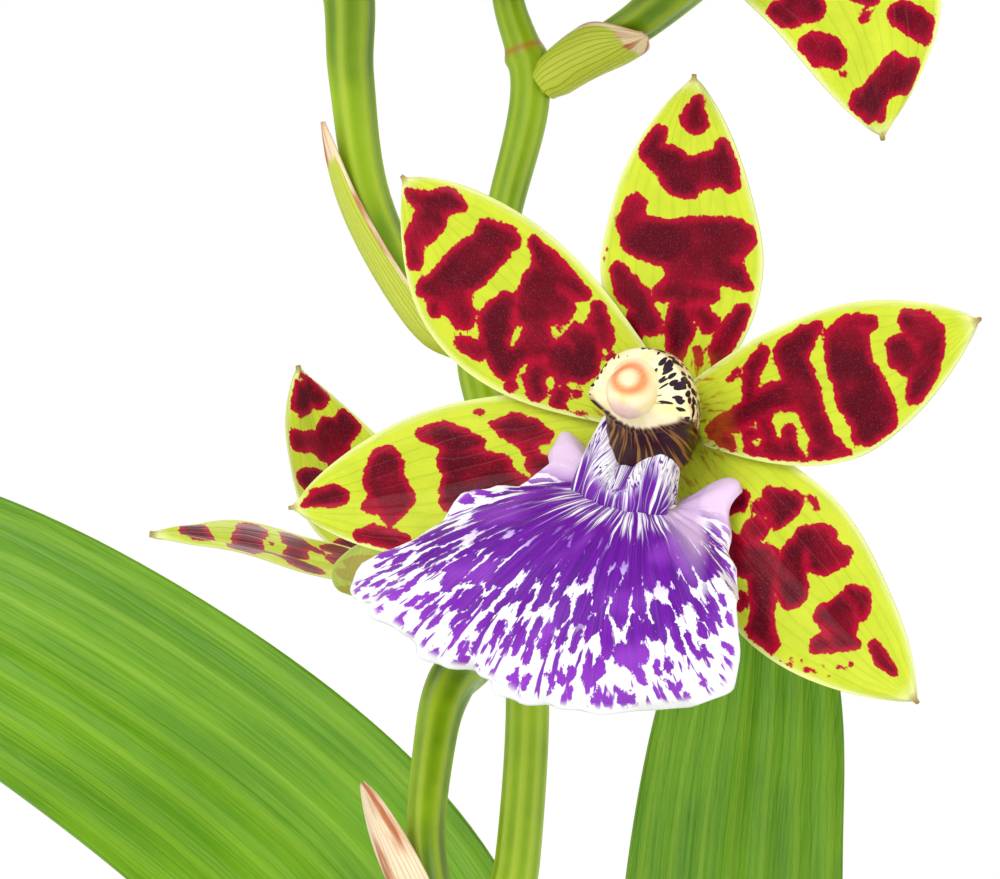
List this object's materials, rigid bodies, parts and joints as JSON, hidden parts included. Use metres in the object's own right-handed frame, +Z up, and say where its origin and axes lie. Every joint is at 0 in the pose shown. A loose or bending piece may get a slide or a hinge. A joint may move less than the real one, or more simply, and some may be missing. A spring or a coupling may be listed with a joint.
{
  "type": "potted zygopetalum orchid",
  "caption": "Flowering orchid plant with pleated leaves, a zigzag spike of blotched blooms and violet lips, standing in a plain round pot.",
  "frame": {"origin": "middle of the pot's foot, on the surface that it stands on", "axes": "+Z up; the main bloom faces -Y; +X to the right as a viewer in front sees it"},
  "size_m": [0.3332, 0.327, 0.4717],
  "materials": {
    "pot": "matt off-white",
    "bark": "rough chips",
    "stem": "smooth, slightly waxy",
    "pseudobulb": "ribbed, waxy",
    "tepal": "waxy petal with maroon blotches",
    "lip": "velvety, violet streaks on white",
    "column": "waxy, dark spots",
    "bract": "thin, papery",
    "leaf": "pleated, satin",
    "bud": "waxy"
  },
  "bodies": {
    "root": {"pot": "pot", "bark_mix": "bark", "spike_stem": "stem", "pseudobulb_back": "pseudobulb", "pseudobulb_left": "pseudobulb", "pseudobulb_right": "pseudobulb", "bloom_main_dorsal_sepal": "tepal", "bloom_main_petal_left": "tepal", "bloom_main_petal_right": "tepal", "bloom_main_lateral_sepal_left": "tepal", "bloom_main_lateral_sepal_right": "tepal", "bloom_main_lip": "lip", "bloom_main_column": "column", "bract_main": "bract", "bloom_right_dorsal_sepal": "tepal", "bloom_right_petal_left": "tepal", "bloom_right_petal_right": "tepal", "bloom_right_lateral_sepal_left": "tepal", "bloom_right_lateral_sepal_right": "tepal", "bloom_right_lip": "lip", "bloom_right_column": "column", "bract_right": "bract", "bloom_left_dorsal_sepal": "tepal", "bloom_left_petal_left": "tepal", "bloom_left_petal_right": "tepal", "bloom_left_lateral_sepal_left": "tepal", "bloom_left_lateral_sepal_right": "tepal", "bloom_left_lip": "lip", "bloom_left_column": "column", "bract_left": "bract", "bloom_back_dorsal_sepal": "tepal", "bloom_back_petal_left": "tepal", "bloom_back_petal_right": "tepal", "bloom_back_lateral_sepal_left": "tepal", "bloom_back_lateral_sepal_right": "tepal", "bloom_back_lip": "lip", "bloom_back_column": "column", "bract_back": "bract", "leaf_left_tall": "leaf", "leaf_right_tall": "leaf", "leaf_back": "leaf", "leaf_left_low": "leaf", "leaf_left_back": "leaf", "leaf_right_low": "leaf", "leaf_right_back": "leaf", "leaf_front": "leaf", "bud_lower": "bud", "bud_upper": "bud"}
  },
  "joints": []
}
